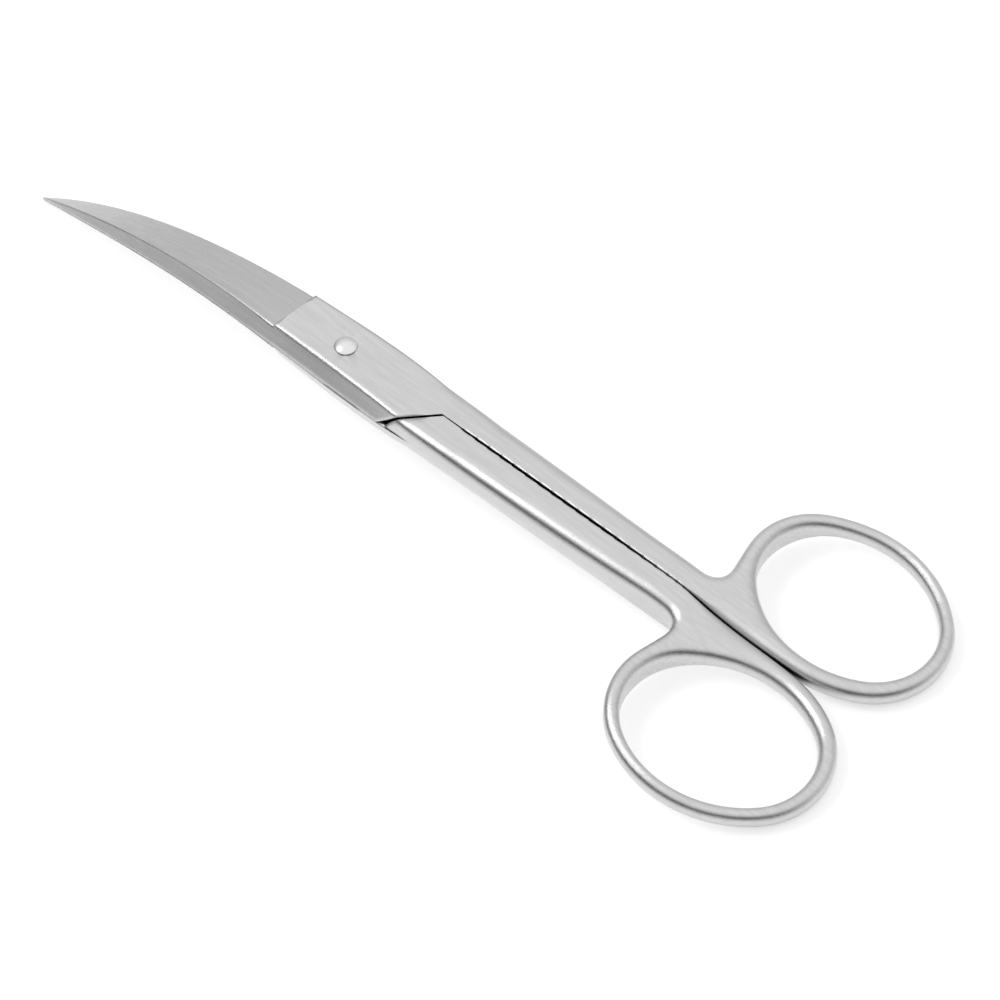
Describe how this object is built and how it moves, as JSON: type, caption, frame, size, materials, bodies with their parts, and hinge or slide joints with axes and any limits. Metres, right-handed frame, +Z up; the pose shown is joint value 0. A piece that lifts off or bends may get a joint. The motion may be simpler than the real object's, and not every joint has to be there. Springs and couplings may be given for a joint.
{
  "type": "dressing scissors",
  "caption": "Curved dressing scissors with two sharp points: two satin steel halves with finger rings, turning on a domed rivet.",
  "frame": {"origin": "on the surface that the closed scissors lie on, below the middle of their box", "axes": "+X towards the points, +Z up out of the face that shows, +Y towards the lower half's finger ring"},
  "size_m": [0.1448, 0.0478, 0.0115],
  "materials": {
    "satin_steel": "satin",
    "polished_steel": "polished"
  },
  "bodies": {
    "lower": {"lower_half": "satin_steel", "pivot_rivet": "polished_steel"},
    "upper": {"upper_half": "satin_steel"}
  },
  "joints": [
    {"name": "rivet_joint", "type": "hinge", "parent": "lower", "child": "upper", "pos_m": [0.01395, 0, 0.00808], "axis": [-0.0764, 0, 0.9971], "range_deg": [0, 110]}
  ]
}
